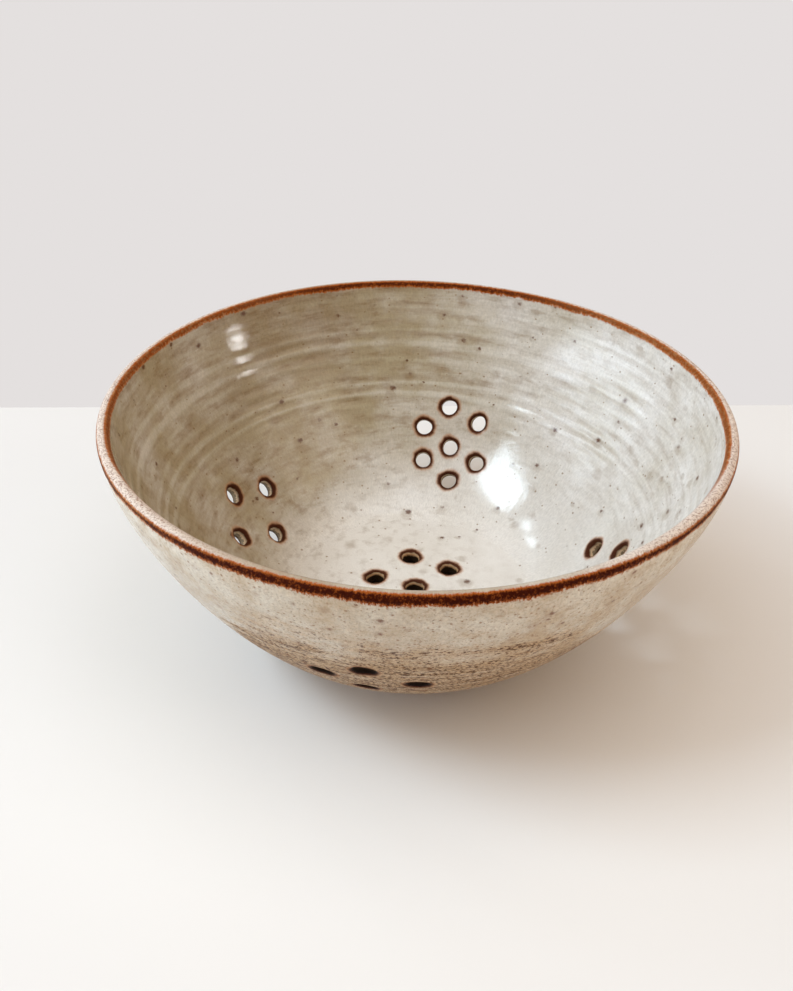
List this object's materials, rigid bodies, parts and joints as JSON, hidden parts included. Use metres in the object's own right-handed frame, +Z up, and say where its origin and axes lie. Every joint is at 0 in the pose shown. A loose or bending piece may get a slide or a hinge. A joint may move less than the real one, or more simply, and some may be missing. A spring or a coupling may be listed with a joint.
{
  "type": "berry colander bowl",
  "caption": "Round stoneware bowl on a foot ring, glazed inside and out, with groups of drain holes through its wall and floor for rinsing berries.",
  "frame": {"origin": "centre of the foot ring's underside, on the surface that the bowl stands on", "axes": "+Z up along the bowl's axis, -Y towards the viewer of the picture, +X to that viewer's right"},
  "size_m": [0.178, 0.178, 0.076],
  "materials": {
    "stoneware": "bare fired stoneware, toasted tan, fine tooth",
    "inside_glaze": "glossy grey-green glaze with iron specks",
    "outside_glaze": "glossy pale grey-beige glaze with iron specks, thin and tan towards the foot",
    "rim_glaze": "glossy rust-brown where the glaze breaks over the lip",
    "hole_glaze": "glossy dark rust-brown where the glaze breaks over the holes' edges"
  },
  "bodies": {
    "root": {"clay_body": "stoneware", "inside_glaze": "inside_glaze", "outside_glaze": "outside_glaze", "rim_glaze": "rim_glaze", "floor_hole_glaze": "hole_glaze", "back_hole_glaze": "hole_glaze", "left_hole_glaze": "hole_glaze", "front_hole_glaze": "hole_glaze", "right_hole_glaze": "hole_glaze"}
  },
  "joints": []
}
